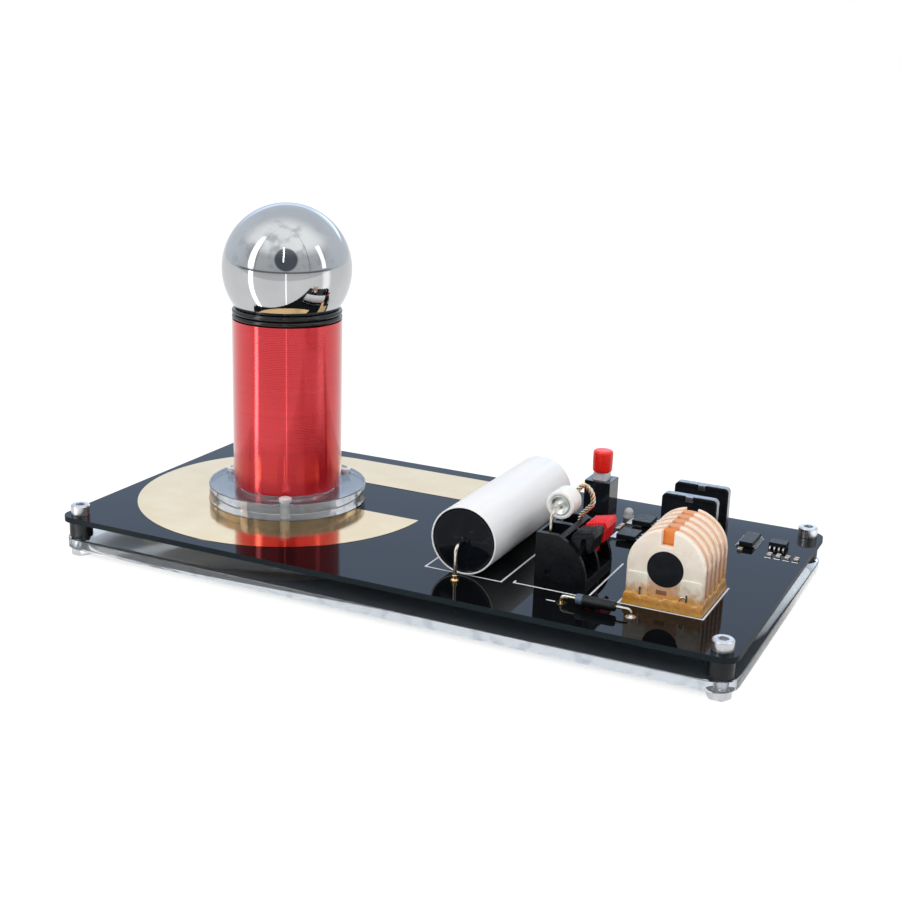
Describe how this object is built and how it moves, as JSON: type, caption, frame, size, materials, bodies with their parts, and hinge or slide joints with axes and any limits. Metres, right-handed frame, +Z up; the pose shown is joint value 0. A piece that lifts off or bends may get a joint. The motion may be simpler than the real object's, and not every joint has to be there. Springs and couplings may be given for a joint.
{
  "type": "desktop resonant transformer",
  "caption": "Desktop resonant transformer: upright red coil under a steel ball on a black circuit board with a flat primary turn, film capacitor, gas tube and push switch.",
  "frame": {"origin": "bottom centre of the overall box: on the plane the four nuts stand on, under the middle of the board", "axes": "+X along the board's length, away from the coil; +Y to the back edge; +Z up"},
  "size_m": [0.2, 0.1, 0.1011],
  "materials": {
    "clear_acrylic": "clear cast acrylic sheet and tube, polished",
    "board_black": "glossy black solder mask on glass fibre laminate",
    "plated_copper": "immersion gold on copper, bare and glossy",
    "white_ink": "screen-printed white lines",
    "bright_steel": "nickel-plated steel",
    "black_nylon": "black nylon spacer",
    "red_enamelled_wire": "red enamel on copper wire, varnished",
    "black_rubber": "smooth glossy black rubber",
    "black_plastic": "turned black plastic",
    "polished_steel": "mirror-polished stainless steel",
    "white_film": "white polyester tape wrap",
    "metallised_film": "wound metallised film",
    "black_resin": "poured black epoxy, level and glossy",
    "tinned_wire": "hot-tinned copper wire",
    "black_housing": "moulded black polyamide, fine satin",
    "red_lever": "moulded red polyamide",
    "white_ceramic": "glazed white alumina ceramic",
    "nickel_electrode": "matt nickel-plated electrode",
    "switch_black": "moulded black plastic, glossy",
    "switch_stem": "milky moulded plastic",
    "red_cap": "moulded red plastic, glossy",
    "spring_steel": "drawn spring wire",
    "cream_bobbin": "moulded cream nylon, slightly translucent",
    "copper_winding": "fine enamelled copper winding",
    "ferrite": "sintered grey-black ferrite, ground",
    "amber_resin": "poured amber resin",
    "rectifier_black": "moulded black epoxy",
    "chip_black": "moulded black epoxy, satin",
    "tinned_metal": "bright tin plate",
    "chip_ceramic": "sintered tan ceramic",
    "lamp_lens": "diffused lamp lens"
  },
  "bodies": {
    "board": {"base_plate": "clear_acrylic", "circuit_board": "board_black", "primary_turn": "plated_copper", "board_markings": "white_ink", "corner_screws": "bright_steel", "corner_spacers": "black_nylon", "corner_nuts": "bright_steel", "coil_flange": "clear_acrylic", "flange_screws": "bright_steel", "flange_nuts": "bright_steel", "coil_former": "clear_acrylic", "winding_core": "red_enamelled_wire", "secondary_winding": "red_enamelled_wire", "winding_leads": "red_enamelled_wire", "top_plug": "black_plastic", "collar_rings": "black_rubber", "ball_stud": "bright_steel", "stud_nut": "bright_steel", "ball_shell": "polished_steel", "ball_bush": "bright_steel", "capacitor_sleeve": "white_film", "capacitor_roll": "metallised_film", "capacitor_seals": "black_resin", "capacitor_leads": "tinned_wire", "terminal_housing": "black_housing", "lever_pin": "bright_steel", "terminal_clips": "tinned_wire", "gas_tube_ceramic": "white_ceramic", "gas_tube_electrodes": "nickel_electrode", "gas_tube_leads": "tinned_wire", "switch_housing": "switch_black", "switch_spring": "spring_steel", "switch_pins": "tinned_wire", "hv_bobbin": "cream_bobbin", "hv_windings": "copper_winding", "hv_core": "ferrite", "hv_primary": "copper_winding", "hv_resin": "amber_resin", "hv_pins": "tinned_wire", "rectifier_body": "rectifier_black", "rectifier_leads": "tinned_wire", "choke_cores": "ferrite", "choke_clips": "tinned_metal", "choke_windings": "copper_winding", "choke_pins": "tinned_wire", "transistor_bodies": "chip_black", "transistor_metal": "tinned_metal", "chip_bodies": "chip_black", "chip_pins": "tinned_metal", "small_part_bodies": "chip_ceramic", "small_part_ends": "tinned_metal", "indicator_lamp": "lamp_lens", "power_socket_shell": "bright_steel", "power_socket_core": "black_plastic"},
    "push_button": {"switch_plunger": "switch_stem", "switch_cap": "red_cap"},
    "front_clamp": {"front_lever": "black_housing"},
    "rear_clamp": {"rear_lever": "red_lever"}
  },
  "joints": [
    {"name": "button_press", "type": "slide", "parent": "board", "child": "push_button", "axis": [0, 0, -1], "range_m": [0, 0.0022], "stiffness_N_per_m": 400, "deforming": ["switch_spring"]},
    {"name": "front_lever_press", "type": "hinge", "parent": "board", "child": "front_clamp", "pos_m": [0.0487, -0.02, 0.0167], "axis": [0, 1, 0], "range_deg": [0, 10], "stiffness_Nm_per_rad": 0.1},
    {"name": "rear_lever_press", "type": "hinge", "parent": "board", "child": "rear_clamp", "pos_m": [0.0487, -0.0105, 0.0167], "axis": [0, 1, 0], "range_deg": [0, 10], "stiffness_Nm_per_rad": 0.1}
  ]
}
